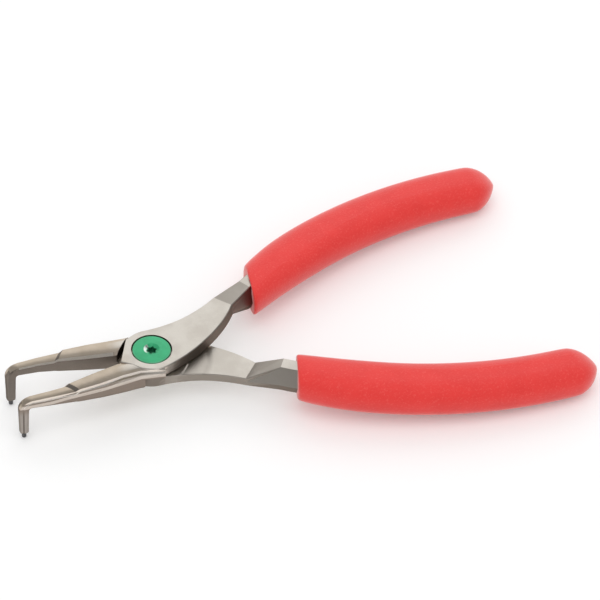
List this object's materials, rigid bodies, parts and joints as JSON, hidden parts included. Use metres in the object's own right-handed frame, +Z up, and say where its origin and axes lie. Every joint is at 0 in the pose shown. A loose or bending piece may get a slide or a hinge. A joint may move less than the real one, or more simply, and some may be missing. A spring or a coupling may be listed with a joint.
{
  "type": "circlip pliers",
  "caption": "Pliers with crossed levers on a screw pivot, red sleeve grips and slim jaws bent down at a right angle, each ending in a hard round pin.",
  "frame": {"origin": "on the pivot axis, at the flat lower end of the pivot screw", "axes": "+Z up the pivot axis towards the screw head, +X from the pivot between the two handles, +Y towards the handle of the top lever; the noses point along -Z"},
  "size_m": [0.1579, 0.0932, 0.0185],
  "materials": {
    "satin_steel": "satin nickel over forged and ground steel",
    "red_grip": "dipped soft plastic with a fine sandy grain",
    "pin_steel": "dark hardened steel",
    "green_metal": "bright green anodised coat",
    "spring_steel": "drawn spring wire"
  },
  "bodies": {
    "bottom_side": {"bottom_lever": "satin_steel", "bottom_grip": "red_grip", "bottom_tip_pin": "pin_steel", "pivot_screw": "green_metal", "return_spring": "spring_steel"},
    "top_side": {"top_lever": "satin_steel", "top_grip": "red_grip", "top_tip_pin": "pin_steel"}
  },
  "joints": [
    {"name": "pivot", "type": "hinge", "parent": "bottom_side", "child": "top_side", "pos_m": [0, 0, 0.0035], "axis": [0, 0, -1], "range_deg": [0, 14], "stiffness_Nm_per_rad": 0.5, "springref_deg": -17.19, "deforming": ["return_spring"]}
  ]
}
